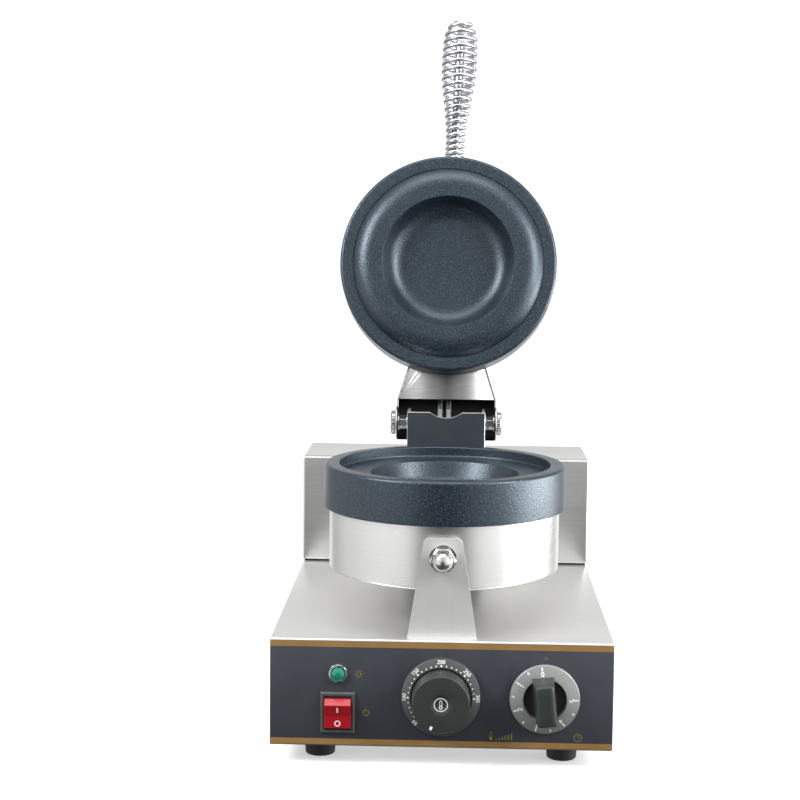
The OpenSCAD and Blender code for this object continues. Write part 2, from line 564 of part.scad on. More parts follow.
// side outline: [distance from the axis, height], drawn in the YZ plane
module neck_side(p) { rotate([90, 0, -90]) translate([0, 0, -60]) linear_extrude(120) polygon(p); }
module hinge_neck() {
    color([0.76, 0.76, 0.75]) lid() difference() {
        intersection() {
            neck_plan(0);
            union() {
                neck_side([[-14, 0], [-14, 18], [2, 44], [60, 49.8], [60, 20.6], [14, 20.6], [14, 0]]);
                xcyl(14, -60, 60, 0, 0);
            }
        }
        intersection() {
            neck_plan(sheet);
            neck_side([[-30, -10.3], [2.71, 42.87], [70, 49.6], [70, -30], [-30, -30]]);
        }
        xcyl(3.05, -60, 60, 0, 0);
        translate([0, -hinge_l, -20]) cylinder(r = shell_r + 0.05, h = 90);
    }
}
module neck_cover() {
    color([0.8, 0.8, 0.79]) lid() difference() {
        intersection() {
            neck_plan(sheet + 0.08);
            union() {
                neck_side([[21.6, 20.7], [60, 20.7], [60, 21.9], [22.8, 21.9], [22.8, 26], [21.6, 26]]);
            }
        }
        translate([0, -hinge_l, -20]) cylinder(r = shell_r + 0.05, h = 90);
    }
}

// ---------- lid ----------
module upper_housing() {
    color([0.78, 0.78, 0.77]) lid_drum() difference() {
        rotate_extrude($fn = 96) polygon(concat([[0, lid_t]], arcp(shell_r - 4, lid_t - 4, 4, 90, 0, 5), [[shell_r, 28.3], [shell_r - sheet, 28.3]],
            arcp(shell_r - 4, lid_t - 4, 4 - sheet, 0, 90, 5), [[0, lid_t - sheet]]));
        rotate([0, 0, handle_skew]) translate([0, -70, rod_t]) rotate([90, 0, 0]) cylinder(r = 4.1, h = 30);
        translate([-1.75, 70, rod_t]) rotate([-90, 0, 0]) cylinder(r = 6.5, h = 30);
        three(30) translate([0, 0, lid_t - 3]) cylinder(r = 2.6, h = 5);
    }
}
module upper_plate() {
    df = dish_deep - 7.5; ur = dish_r - 1;
    color([0.3, 0.34, 0.39]) lid_drum() difference() {
        union() {
            rotate_extrude($fn = 96) polygon(concat([[0, df]], arcp(38, df - 12, 12, 90, 34, 6), [[ur, -7.5]],
                arcp(step_r - 6.5, -1, 6.5, -90, 0, 6), [[step_r, 0]], arcp(rim_r - 3.4, 2.6, 2.6, -90, -4, 5),
                [[rim_r - 0.2, rim_h - 0.6], [rim_r - 0.8, rim_h], [shell_r + 0.3, rim_h], [shell_r + 0.3, 28], [87, 28], [87, 9], [62, 9], [50.5, df + 7.5], [0, df + 7.5]]));
            three(80.5) translate([0, 0, 8]) cylinder(r = 4.5, h = 9.1);
            three(30) translate([0, 0, df + 5]) cylinder(r = 5, h = 10.5);
        }
        three(80.5) translate([0, 0, 10]) cylinder(r = 2, h = 8);
        three(30) translate([0, 0, df + 9]) cylinder(r = 2.5, h = 8);
    }
}
module upper_element() { color([0.45, 0.44, 0.42]) lid_drum() translate([0, 0, 13.05]) ring_element(); }
module upper_element_clamp() { color([0.66, 0.66, 0.66]) lid_drum() translate([0, 0, 17.15]) clamp_ring(); }
module upper_insulation() {
    color([0.86, 0.84, 0.76]) lid_drum() difference() {
        translate([0, 0, 60]) cylinder(r = shell_r - 6, h = lid_t - sheet - 60.1);
        three(30) translate([0, 0, 55]) cylinder(r = 3, h = 20);
    }
}
module upper_plate_screws() {
    color([0.7, 0.7, 0.72]) lid_drum() {
        three(80.5) translate([0, 0, 19.2]) screw(2, 3.8, 2.4, 8);
        three(30) translate([0, 0, lid_t]) difference() {
            screw(2.5, 4.6, 2.6, lid_t - dish_deep - 2.5);
            translate([0, 0, 1.2]) hex(3, 2);
        }
    }
}
// coiled grip: u counts turns, distance along the grip and coil radius follow it
grip_u = 10 + (grip_l - 55.5) / 6.8;
function grip_s(u) = u < 10 ? 4.3 * u + 0.125 * u * u : 55.5 + 6.8 * (u - 10);
function grip_r(s) = lookup(s * 134 / grip_l, [[0, 6.9], [18, 6.9], [27, 6.95], [45, 8.7], [63.5, 11.5], [82, 13.85], [100, 14.15], [118, 13.25], [127, 10.4], [131, 8], [134, 4.4]]);
module handle_spring() {
    seg = 20; sd = 8; n = floor(grip_u * seg); w = grip_wire / 2;
    pts = [for (i = [0:n]) let (u = i / seg, a = 360 * u, s = grip_s(u), r = grip_r(s))
        for (k = [0:sd - 1]) let (b = 360 * k / sd) [(r + w * cos(b)) * cos(a), (r + w * cos(b)) * sin(a), s + w * sin(b)]];
    fcs = concat([[for (k = [0:sd - 1]) k]], [[for (k = [sd - 1:-1:0]) n * sd + k]],
        [for (i = [0:n - 1], k = [0:sd - 1]) [i * sd + k, (i + 1) * sd + k, (i + 1) * sd + (k + 1) % sd, i * sd + (k + 1) % sd]]);
    color([0.82, 0.82, 0.83]) lid_drum() rotate([0, 0, handle_skew]) translate([0, -92.4 - w, rod_t]) rotate([90, 0, 0])
        polyhedron(points = pts, faces = fcs, convexity = 12);
}
module handle_rod() {
    color([0.7, 0.7, 0.71]) lid_drum() rotate([0, 0, handle_skew]) translate([0, 0, rod_t]) rotate([90, 0, 0]) {
        translate([0, 0, 76]) cylinder(r = 4, h = 16.4 + grip_l - 18);
        translate([0, 0, 79]) nut(13, 6.5, 4);
        difference() { translate([0, 0, shell_r + 0.1]) cylinder(r = 9, h = 3); cylinder(r = 4, h = 200); }
    }
}

base_shell();
base_bottom();
bottom_screws();
control_panel();
rubber_feet();
foot_screws();
rear_box_shell();
rear_box_back();
rear_box_screws();
cable_gland();
gland_locknut();
terminal_block();
earth_stud();
pilot_lamp_bezel();
pilot_lamp_lens();
pilot_lamp_body();
rocker_frame();
rocker();
rocker_pin();
thermostat_dial();
thermostat_knob();
thermostat_shaft();
thermostat_body();
control_screws();
timer_knob();
timer_shaft();
timer_body();
capillary();
wiring_harness();
lower_plate();
lower_housing();
lower_element();
lower_element_clamp();
lower_insulation();
lower_plate_screws();
front_bracket();
front_bracket_screws();
front_stud();
front_cap_nut();
rear_standoff();
rear_stud();
wire_sleeve();
grommets();
hinge_post();
hinge_post_screws();
hinge_bolts();
hinge_nuts();
hinge_locknuts();
heater_leads();
lid_leads();
hinge_neck();
neck_cover();
upper_housing();
upper_plate();
upper_element();
upper_element_clamp();
upper_insulation();
upper_plate_screws();
handle_spring();
handle_rod();
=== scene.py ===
import bpy, bmesh, math
from mathutils import Vector, Matrix


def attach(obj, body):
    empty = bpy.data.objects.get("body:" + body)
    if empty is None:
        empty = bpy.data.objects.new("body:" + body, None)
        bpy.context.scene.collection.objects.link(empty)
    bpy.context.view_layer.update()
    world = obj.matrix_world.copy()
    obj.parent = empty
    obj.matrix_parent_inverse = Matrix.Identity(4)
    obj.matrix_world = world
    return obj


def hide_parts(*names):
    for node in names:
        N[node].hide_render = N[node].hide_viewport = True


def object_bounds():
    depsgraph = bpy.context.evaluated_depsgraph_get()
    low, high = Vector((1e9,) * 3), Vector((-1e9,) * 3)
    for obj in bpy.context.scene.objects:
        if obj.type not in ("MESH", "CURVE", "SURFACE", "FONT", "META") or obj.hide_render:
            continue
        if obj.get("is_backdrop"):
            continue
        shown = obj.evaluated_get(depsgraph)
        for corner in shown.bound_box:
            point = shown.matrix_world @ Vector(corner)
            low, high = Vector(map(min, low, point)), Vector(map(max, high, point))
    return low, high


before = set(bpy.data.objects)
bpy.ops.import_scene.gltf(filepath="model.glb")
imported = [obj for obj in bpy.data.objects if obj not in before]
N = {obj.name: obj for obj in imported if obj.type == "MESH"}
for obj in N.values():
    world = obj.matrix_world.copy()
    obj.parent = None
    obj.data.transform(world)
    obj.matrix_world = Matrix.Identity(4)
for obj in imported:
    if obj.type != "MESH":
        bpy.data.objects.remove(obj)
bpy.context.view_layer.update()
sc = bpy.context.scene
rad = math.radians

# ------------------------------------------------------------------ places
YF, YO, ZT, PY, ZR, ZH = -173.5, -174.1, 94.5, -71.4, 209.3, 128.1
HY, HZ = 65.2, 222.5


def T(x, y, z):
    return Matrix.Translation((x, y, z))


def RX(a):
    return Matrix.Rotation(rad(a), 4, "X")


def RY(a):
    return Matrix.Rotation(rad(a), 4, "Y")


def RZ(a):
    return Matrix.Rotation(rad(a), 4, "Z")


LID = T(0, HY, HZ) @ RX(-101.5)
LDRUM = LID @ T(0, -136.6, -12.9)
DRUM = T(0, PY, ZR)


def FRONT(x, z):
    return T(x, YO, z) @ RX(90)


# ------------------------------------------------------------------ camera
cam = bpy.data.objects.new("camera", bpy.data.cameras.new("camera"))
sc.collection.objects.link(cam)
pit, yaw, rol = rad(-6.65), rad(-1.96), rad(0.57)
fwd = Vector((math.sin(yaw) * math.cos(pit), math.cos(yaw) * math.cos(pit), math.sin(pit)))
right = Vector((math.cos(yaw), -math.sin(yaw), 0))
up = right.cross(fwd)
r_ = right * math.cos(rol) + up * math.sin(rol)
u_ = -right * math.sin(rol) + up * math.cos(rol)
m = Matrix((r_, u_, -fwd)).transposed().to_4x4()
m.translation = (0.00596, -1.33873, 0.40646)
cam.matrix_world = m
cam.data.lens = 74.24
cam.data.sensor_width = 36
cam.data.shift_x, cam.data.shift_y = 0.00336, -0.00176
cam.data.clip_start, cam.data.clip_end = 0.05, 60
sc.camera = cam


# ------------------------------------------------------------------ nodes
class Mat:
    """A material with small helpers for its node tree."""

    def __init__(self, name, **vals):
        self.m = bpy.data.materials.new(name)
        self.m.use_nodes = True
        self.nt = self.m.node_tree
        self.b = self.nt.nodes["Principled BSDF"]
        self.x = None
        for k, v in vals.items():
            self.b.inputs[k.replace("_", " ")].default_value = v

    def n(self, kind, **props):
        o = self.nt.nodes.new("ShaderNode" + kind)
        for k, v in props.items():
            setattr(o, k, v)
        return o

    def link(self, a, b):
        self.nt.links.new(a, b)

    def coords(self, scale=(1, 1, 1), rot=(0, 0, 0), loc=(0, 0, 0), lid=False):
        """Object space, in metres; lid=True gives the drum's own frame of the open lid."""
        tc = self.n("TexCoord")
        src = tc.outputs["Object"]
        if lid:
            mp = self.n("Mapping", vector_type="TEXTURE")
            t = LDRUM.to_translation() * 0.001
            mp.inputs["Location"].default_value = t
            mp.inputs["Rotation"].default_value = (rad(-101.5), 0, 0)
            self.link(src, mp.inputs["Vector"])
            src = mp.outputs["Vector"]
        mp = self.n("Mapping")
        mp.inputs["Scale"].default_value = scale
        mp.inputs["Rotation"].default_value = rot
        mp.inputs["Location"].default_value = loc
        self.link(src, mp.inputs["Vector"])
        return mp.outputs["Vector"]

    def noise(self, vec, scale=1.0, detail=4.0, rough=0.6, dist=0.0):
        o = self.n("TexNoise")
        o.inputs["Scale"].default_value = scale
        o.inputs["Detail"].default_value = detail
        o.inputs["Roughness"].default_value = rough
        o.inputs["Distortion"].default_value = dist
        self.link(vec, o.inputs["Vector"])
        return o.outputs["Fac"]

    def span(self, fac, a, b, lo=0.25, hi=0.75):
        o = self.n("MapRange")
        for k, v in zip(("From Min", "From Max", "To Min", "To Max"), (lo, hi, a, b)):
            o.inputs[k].default_value = v
        self.link(fac, o.inputs["Value"])
        return o.outputs["Result"]

    def math(self, op, a, b=None, clamp=False):
        o = self.n("Math", operation=op, use_clamp=clamp)
        for i, v in enumerate((a, b)):
            if v is None:
                continue
            if isinstance(v, (int, float)):
                o.inputs[i].default_value = v
            else:
                self.link(v, o.inputs[i])
        return o.outputs[0]

    def mix(self, fac, a, b):
        o = self.n("Mix", data_type="RGBA")
        for s, v in ((o.inputs[0], fac), (o.inputs[6], a), (o.inputs[7], b)):
            if isinstance(v, (int, float)):
                s.default_value = v
            elif isinstance(v, (tuple, list)):
                s.default_value = (*v, 1.0)
            else:
                self.link(v, s)
        return o.outputs[2]

    def bump(self, height, strength=0.3, dist=0.0001, prev=None):
        o = self.n("Bump")
        o.inputs["Strength"].default_value = strength
        o.inputs["Distance"].default_value = dist
        self.link(height, o.inputs["Height"])
        if prev is not None:
            self.link(prev, o.inputs["Normal"])
        self.link(o.outputs["Normal"], self.b.inputs["Normal"])
        return o.outputs["Normal"]

    def base(self, s):
        self.link(s, self.b.inputs["Base Color"])

    def rough(self, s):
        self.link(s, self.b.inputs["Roughness"])


def edge_wear(M, amount=0.5, radius=0.0006):
    """0 on flats and up to amount on convex edges."""
    g = M.n("NewGeometry")
    return M.span(g.outputs["Pointiness"], 0.0, amount, 0.52, 0.62)


def brushed(name, along, tone=0.62, rough=0.3, lid=False, tint=(1.0, 0.995, 0.975), grain=1.0, aniso=0.0, metallic=0.9):
    """Satin stainless: long scratches along one axis, soft blotches, slightly warm."""
    M = Mat(name, Metallic=metallic)
    if aniso:
        M.b.inputs["Anisotropic"].default_value = aniso
    fine, slow = 1700.0, 7.0
    s = {"x": (slow, fine, fine), "y": (fine, slow, fine), "z": (fine, fine, slow), "ring": (slow, slow, fine)}[along]
    a = M.noise(M.coords(s, lid=lid), 1.0, 3.0, 0.7)
    s2 = tuple(v * 0.23 for v in s)
    b = M.noise(M.coords(s2, loc=(3.1, 7.7, 1.3), lid=lid), 1.0, 4.0, 0.65)
    blot = M.noise(M.coords((1, 1, 1), lid=lid), 9.0, 3.0, 0.55)
    mixd = M.math("ADD", M.math("MULTIPLY", a, 0.6), M.math("MULTIPLY", b, 0.4))
    lo = tuple(tone * (1 - 0.085 * grain) * t for t in tint)
    hi = tuple(min(1.0, tone * (1 + 0.075 * grain)) * t for t in tint)
    f = M.span(mixd, 0, 1, 0.34, 0.66)
    M.base(M.mix(f, lo, hi))
    r = M.math("ADD", M.span(mixd, -0.03 * grain, 0.035 * grain, 0.3, 0.7), M.span(blot, rough - 0.03, rough + 0.04, 0.3, 0.7))
    M.rough(r)
    M.bump(mixd, 0.05 * grain, 0.00002)
    return M.m


def nonstick(name, lid=False):
    """Dark slate release coating with fine sparkling grain."""
    M = Mat(name, Metallic=0.0, IOR=1.5)
    M.b.inputs["Specular IOR Level"].default_value = 0.95
    M.b.inputs["Specular Tint"].default_value = (0.74, 0.89, 1.0, 1.0)
    c = M.coords((1, 1, 1), lid=lid)
    g1 = M.noise(c, 1000.0, 2.0, 0.6)
    g2 = M.noise(c, 640.0, 2.0, 0.55)
    v = M.n("TexVoronoi")
    v.inputs["Scale"].default_value = 750.0
    M.link(c, v.inputs["Vector"])
    spark = M.span(v.outputs["Distance"], 1.0, 0.0, 0.0, 0.40)
    blot = M.noise(c, 22.0, 3.0, 0.5)
    base = M.mix(M.span(g2, 0, 1, 0.3, 0.7), (0.004, 0.009, 0.016), (0.010, 0.019, 0.030))
    base = M.mix(M.math("MULTIPLY", spark, 0.50), base, (0.20, 0.225, 0.25))
    base = M.mix(M.span(blot, 0.0, 0.22, 0.3, 0.7), base, (0.007, 0.011, 0.016))
    M.base(base)
    M.rough(M.math("ADD", M.span(g1, -0.06, 0.08, 0.3, 0.7), M.span(blot, 0.31, 0.36, 0.3, 0.7)))
    h = M.math("ADD", M.math("MULTIPLY", g1, 0.7), M.math("MULTIPLY", g2, 0.8))
    M.bump(h, 1.0, 0.00022)
    return M.m


def paint(name, col, rough=0.38, peel=0.12, spec=0.5, lid=False):
    M = Mat(name)
    M.b.inputs["Specular IOR Level"].default_value = spec
    c = M.coords((1, 1, 1), lid=lid)
    a = M.noise(c, 900.0, 3.0, 0.55)
    b = M.noise(c, 14.0, 4.0, 0.6)
    lo = tuple(v * 0.86 for v in col)
    hi = tuple(v * 1.14 for v in col)
    M.base(M.mix(M.span(b, 0, 1, 0.3, 0.7), lo, hi))
    M.rough(M.math("ADD", M.span(a, -0.03, 0.04, 0.3, 0.7), M.span(b, rough - 0.03, rough + 0.04, 0.3, 0.7)))
    M.bump(a, peel, 0.00004)
    return M.m


def plastic(name, col, rough=0.4, grain=0.25, metal=0.0, scale=1800.0, spec=0.5):
    """Moulded plastic with a fine spark-eroded texture."""
    M = Mat(name, Metallic=metal)
    M.b.inputs["Specular IOR Level"].default_value = spec
    c = M.coords()
    a = M.noise(c, scale, 3.0, 0.65)
    b = M.noise(c, 45.0, 3.0, 0.5)
    lo = tuple(v * 0.88 for v in col)
    hi = tuple(min(1, v * 1.13) for v in col)
    M.base(M.mix(M.span(M.math("ADD", M.math("MULTIPLY", a, 0.6), M.math("MULTIPLY", b, 0.4)), 0, 1, 0.35, 0.65), lo, hi))
    M.rough(M.math("ADD", M.span(a, -0.05, 0.06, 0.3, 0.7), M.span(b, rough - 0.03, rough + 0.03, 0.3, 0.7)))
    M.bump(a, grain, 0.00003)
    return M.m


def metal(name, col, rough=0.25, scratch=0.06, scale=700.0, spots=None):
    """Plated or turned metal with fine tooling marks and soft stains."""
    M = Mat(name, Metallic=1.0)
    c = M.coords()
    a = M.noise(c, scale, 4.0, 0.6)
    b = M.noise(c, 60.0, 3.0, 0.55)
    lo = tuple(v * 0.84 for v in col)
    hi = tuple(min(1.0, v * 1.1) for v in col)
    M.base(M.mix(M.span(b, 0, 1, 0.3, 0.7), lo, hi))
    M.rough(M.math("ADD", M.span(a, -0.05, 0.06, 0.3, 0.7), M.span(b, rough - 0.03, rough + 0.04, 0.3, 0.7)))
    M.bump(a, scratch, 0.00002)
    return M.m


MS = {}
MS["steel_x"] = brushed("steel_brushed_sideways", "x", 0.84, 0.35, metallic=0.85, grain=0.5)
MS["steel_z"] = brushed("steel_brushed_box", "x", 0.70, 0.33, grain=0.7)
MS["steel_ring"] = brushed("steel_drum", "ring", 0.80, 0.28, grain=0.4)
MS["steel_ring_lid"] = brushed("steel_drum_lid", "ring", 0.80, 0.28, lid=True, grain=0.4)
MS["bracket"] = brushed("steel_bracket", "z", 0.82, 0.42, grain=0.25, metallic=0.6)
MS["neck"] = brushed("steel_neck", "x", 0.66, 0.34, grain=0.4)
MS["nonstick"] = nonstick("release_coating")
MS["nonstick_lid"] = nonstick("release_coating_lid", lid=True)
MS["post"] = paint("post_paint", (0.034, 0.042, 0.050), 0.34)
MS["overlay"] = plastic("overlay_film", (0.0403, 0.0439, 0.0561), 0.42, 0.10, scale=2500.0)
MS["gold"] = plastic("overlay_gold", (0.3660, 0.2135, 0.0708), 0.42, 0.12, metal=0.25)
MS["olive"] = plastic("overlay_olive", (0.24, 0.21, 0.03), 0.5, 0.1)
MS["white"] = plastic("print_white", (0.86, 0.87, 0.87), 0.5, 0.1)
MS["rubber"] = plastic("rubber_black", (0.022, 0.022, 0.024), 0.62, 0.4, scale=900.0)
MS["black"] = plastic("plastic_black", (0.020, 0.021, 0.022), 0.45, 0.3)
MS["knob"] = plastic("knob_soft_black", (0.0342, 0.0415, 0.0378), 0.34, 0.22)
MS["frame"] = plastic("rocker_frame_plastic", (0.062, 0.069, 0.066), 0.36, 0.25)
MS["red"] = plastic("rocker_red", (0.4392, 0.0098, 0.0195), 0.22, 0.06, spec=0.6)
MS["bakelite"] = plastic("bakelite_cream", (0.62, 0.58, 0.46), 0.45, 0.2)
MS["dial"] = plastic("dial_satin_grey", (0.12, 0.125, 0.125), 0.34, 0.20, metal=0.55, scale=1500.0)
MS["timer"] = plastic("timer_grey", (0.38, 0.385, 0.385), 0.36, 0.22, metal=0.6)
MS["zinc"] = metal("zinc_plate", (0.56, 0.56, 0.55), 0.34, 0.08)
MS["bright"] = metal("polished_nut", (0.72, 0.72, 0.70), 0.20, 0.01)
MS["chrome"] = metal("chrome_wire", (0.64, 0.645, 0.665), 0.30, 0.0, 300.0)
MS["satin"] = metal("satin_steel", (0.60, 0.60, 0.59), 0.28, 0.06)
MS["brass"] = metal("brass", (0.62, 0.42, 0.16), 0.3, 0.08)
MS["copper"] = metal("copper_tube", (0.66, 0.34, 0.2), 0.28, 0.08)
MS["wire"] = plastic("wire_insulation", (0.45, 0.07, 0.04), 0.5, 0.15)
MS["sleeve"] = plastic("glass_fibre_sleeve", (0.52, 0.51, 0.48), 0.42, 0.5, scale=1300.0)
MS["wool"] = plastic("mineral_wool", (0.66, 0.62, 0.50), 0.9, 0.9, scale=500.0)
MS["element"] = metal("element_sheath", (0.28, 0.26, 0.24), 0.45, 0.15)
MS["ring"] = metal("lamp_ring_chrome", (0.78, 0.82, 0.81), 0.12, 0.02)


def lamp_green():
    M = Mat("lamp_green", IOR=1.49)
    c = M.coords()
    v = M.n("TexVoronoi")
    v.inputs["Scale"].default_value = 700.0
    M.link(c, v.inputs["Vector"])
    f = M.span(v.outputs["Distance"], 0.0, 1.0, 0.05, 0.55)
    M.base(M.mix(f, (0.004, 0.19, 0.12), (0.008, 0.26, 0.17)))
    M.b.inputs["Specular IOR Level"].default_value = 0.7
    M.rough(M.span(M.noise(c, 300.0), 0.10, 0.18, 0.3, 0.7))
    M.b.inputs["Coat Weight"].default_value = 0.6
    M.bump(v.outputs["Distance"], 0.12, 0.0001)
    return M.m


MS["green"] = lamp_green()


def cover_steel():
    """The neck cover: satin sheet, shaded by a bump as if very slightly bowed from side to side."""
    M = Mat("steel_neck_cover", Metallic=0.9)
    c = M.coords((1, 1, 1))
    fine = M.noise(M.coords((60, 900, 900)), 1.0, 3.0, 0.6)
    M.base(M.mix(M.span(fine, 0, 1, 0.3, 0.7), (0.25, 0.25, 0.248), (0.30, 0.30, 0.298)))
    M.rough(M.span(fine, 0.29, 0.34, 0.3, 0.7))
    sx = M.n("SeparateXYZ")
    tc = M.n("TexCoord")
    M.link(tc.outputs["Object"], sx.inputs["Vector"])
    x = M.math("DIVIDE", sx.outputs["X"], 0.03)
    h = M.math("MULTIPLY", M.math("MULTIPLY", x, x), -1.0)
    M.bump(h, 1.0, 0.0070)
    return M.m


MS["cover"] = cover_steel()
# near-black finish for the inside of the hinge neck: painted shade in the channel
MS["soot"] = paint("neck_inside_painted_shade", (0.012, 0.013, 0.014), 0.40, 0.2)


def sleeve_lead_painted_sheen():
    """Varnished glass sleeve: glossy, with a painted highlight: darker in its middle than at its edges, where the
    colour turns light as the surface turns away from the view.
    """
    M = Mat("lead_sleeve_painted_sheen")
    lw = M.n("LayerWeight")
    lw.inputs["Blend"].default_value = 0.35
    a = M.noise(M.coords((1, 1, 1)), 1400.0, 3.0, 0.6)
    # painted highlight: light colour at grazing angles, dark where the surface faces the view
    c = M.mix(M.span(lw.outputs["Facing"], 0, 1, 0.15, 0.75), (0.05, 0.052, 0.055), (0.62, 0.63, 0.64))
    M.base(M.mix(M.span(a, 0.0, 0.25, 0.3, 0.7), c, (0.02, 0.02, 0.02)))
    M.rough(M.span(a, 0.2, 0.32, 0.3, 0.7))
    M.bump(a, 0.3, 0.00005)
    return M.m


MS["lead"] = sleeve_lead_painted_sheen()


# ------------------------------------------------------------------ mesh tools
def to_object(name, bm, mat, body, sharp=35.0, M=None, stands=()):
    if M is not None:
        bm.transform(M)
    bm.transform(Matrix.Scale(0.001, 4))
    bmesh.ops.recalc_face_normals(bm, faces=bm.faces)
    me = bpy.data.meshes.new(name)
    bm.to_mesh(me)
    bm.free()
    for p in me.polygons:
        p.use_smooth = True
    me.set_sharp_from_angle(angle=rad(sharp))
    me.materials.append(MS[mat])
    o = bpy.data.objects.new(name, me)
    sc.collection.objects.link(o)
    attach(o, body)
    if stands:
        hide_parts(*stands)
    return o


def fillet(pts, n=6, closed=False):
    """Rounds the corners of a polyline given as (r, z[, radius])."""
    out = []
    k = len(pts)
    for i, p in enumerate(pts):
        rr = p[2] if len(p) > 2 else 0
        if not rr or (not closed and i in (0, k - 1)):
            out.append((p[0], p[1]))
            continue
        a, b, c = Vector(pts[i - 1][:2]), Vector(p[:2]), Vector(pts[(i + 1) % k][:2])
        u, v = (a - b), (c - b)
        lu, lv = u.length, v.length
        u.normalize()
        v.normalize()
        ang = math.acos(max(-1, min(1, u.dot(v))))
        if ang > math.pi - 1e-3:
            out.append((p[0], p[1]))
            continue
        t = min(rr / math.tan(ang / 2), lu * 0.499, lv * 0.499)
        q = t * math.tan(ang / 2)
        mid = (u + v).normalized() * (q / math.sin(ang / 2)) + b
        s, e_ = b + u * t, b + v * t
        a0 = math.atan2((s - mid).y, (s - mid).x)
        a1 = math.atan2((e_ - mid).y, (e_ - mid).x)
        d = (a1 - a0 + math.pi) % (2 * math.pi) - math.pi
        steps = max(2, int(n * abs(d) / (math.pi / 2)) + 1)
        for j in range(steps + 1):
            w = a0 + d * j / steps
            out.append((mid.x + q * math.cos(w), mid.y + q * math.sin(w)))
    return out


def lathe(name, prof, mat, body, M, n=160, sharp=30.0, stands=(), closed=True):
    """Turns a closed profile of (radius, height) about the local Z axis."""
    bm = bmesh.new()
    rings = []
    for r, z in prof:
        if abs(r) < 1e-6:
            rings.append([bm.verts.new((0, 0, z))])
        else:
            rings.append([bm.verts.new((r * math.cos(2 * math.pi * i / n), r * math.sin(2 * math.pi * i / n), z)) for i in range(n)])
    k = len(rings)
    for j in range(k if closed else k - 1):
        a, b = rings[j], rings[(j + 1) % k]
        if len(a) == 1 and len(b) == 1:
            continue
        for i in range(n):
            i2 = (i + 1) % n
            if len(a) == 1:
                f = (a[0], b[i], b[i2])
            elif len(b) == 1:
                f = (a[i], b[0], a[i2])
            else:
                f = (a[i], b[i], b[i2], a[i2])
            bm.faces.new(f)
    return to_object(name, bm, mat, body, sharp, M, stands)


def slab(bm, lo, hi):
    """Adds a box to bm and returns its faces."""
    v = [bm.verts.new((x, y, z)) for x in (lo[0], hi[0]) for y in (lo[1], hi[1]) for z in (lo[2], hi[2])]
    q = [(0, 1, 3, 2), (4, 6, 7, 5), (0, 4, 5, 1), (2, 3, 7, 6), (0, 2, 6, 4), (1, 5, 7, 3)]
    return [bm.faces.new([v[i] for i in f]) for f in q]


def folded_box(name, lo, hi, open_side, mat, body, stands, r=1.6, wall=1.2):
    """A box folded from sheet: rounded folds, one side open, real wall thickness."""
    bm = bmesh.new()
    fs = slab(bm, lo, hi)
    bmesh.ops.recalc_face_normals(bm, faces=bm.faces)
    axis, sign = open_side
    gone = [f for f in bm.faces if f.normal[axis] * sign > 0.9]
    rim = {e for f in gone for e in f.edges}
    bmesh.ops.delete(bm, geom=gone, context="FACES_ONLY")
    edges = [e for e in bm.edges if e not in rim]
    bmesh.ops.bevel(bm, geom=edges, offset=r, segments=5, profile=0.5, affect="EDGES", clamp_overlap=True)
    bmesh.ops.recalc_face_normals(bm, faces=bm.faces)
    o = to_object(name, bm, mat, body, 40.0, None, stands)
    md = o.modifiers.new("wall", "SOLIDIFY")
    md.thickness = wall * 0.001
    md.offset = -1.0
    md.use_even_offset = True
    return o


def prism(bm, outline, z0, z1):
    """Adds an extruded polygon (local x, y) between two heights."""
    a = [bm.verts.new((x, y, z0)) for x, y in outline]
    b = [bm.verts.new((x, y, z1)) for x, y in outline]
    bm.faces.new(list(reversed(a)))
    bm.faces.new(b)
    k = len(a)
    for i in range(k):
        bm.faces.new((a[i], a[(i + 1) % k], b[(i + 1) % k], b[i]))


def disc(bm, x, y, r, z0, z1, n=20):
    prism(bm, [(x + r * math.cos(2 * math.pi * i / n), y + r * math.sin(2 * math.pi * i / n)) for i in range(n)], z0, z1)


def annulus(bm, x, y, r0, r1, z0, z1, n=48, a0=0.0, a1=360.0):
    full = abs(a1 - a0) > 359.9
    k = n if full else n + 1
    pts = [rad(a0 + (a1 - a0) * i / n) for i in range(k)]
    rows = [[bm.verts.new((x + r * math.cos(a), y + r * math.sin(a), z)) for a in pts] for r, z in ((r0, z0), (r1, z0), (r1, z1), (r0, z1))]
    for j in range(4):
        p, q = rows[j], rows[(j + 1) % 4]
        for i in range(k if full else k - 1):
            bm.faces.new((p[i], p[(i + 1) % k], q[(i + 1) % k], q[i]))
    if not full:
        bm.faces.new([rows[j][0] for j in range(4)])
        bm.faces.new([rows[j][-1] for j in range(3, -1, -1)])


def bar(bm, x0, y0, x1, y1, w, z0, z1):
    d = Vector((x1 - x0, y1 - y0)).normalized()
    s = Vector((-d.y, d.x)) * w / 2
    p0, p1 = Vector((x0, y0)), Vector((x1, y1))
    prism(bm, [tuple(p0 - s), tuple(p1 - s), tuple(p1 + s), tuple(p0 + s)], z0, z1)


# seven-segment-free numerals: stroked outlines on a 1 x 1.6 grid
def arc(cx, cy, rx, ry, a0, a1, n=14):
    return [(cx + rx * math.cos(rad(a0 + (a1 - a0) * i / n)), cy + ry * math.sin(rad(a0 + (a1 - a0) * i / n))) for i in range(n + 1)]


GLYPH = {
    "0": [arc(0.5, 0.8, 0.42, 0.75, 90, 450, 28)],
    "1": [[(0.22, 1.25), (0.58, 1.55), (0.58, 0.05)]],
    "2": [arc(0.5, 1.13, 0.42, 0.42, 165, -40, 14) + [(0.08, 0.05), (0.95, 0.05)]],
    "3": [arc(0.47, 1.18, 0.38, 0.37, 150, -90, 14) + arc(0.47, 0.43, 0.43, 0.38, 90, -150, 14)],
    "4": [[(0.98, 0.48), (0.05, 0.48), (0.70, 1.55), (0.70, 0.02)]],
    "5": [[(0.88, 1.55), (0.2, 1.55), (0.13, 0.87)] + arc(0.47, 0.5, 0.44, 0.46, 125, -145, 16)],
}


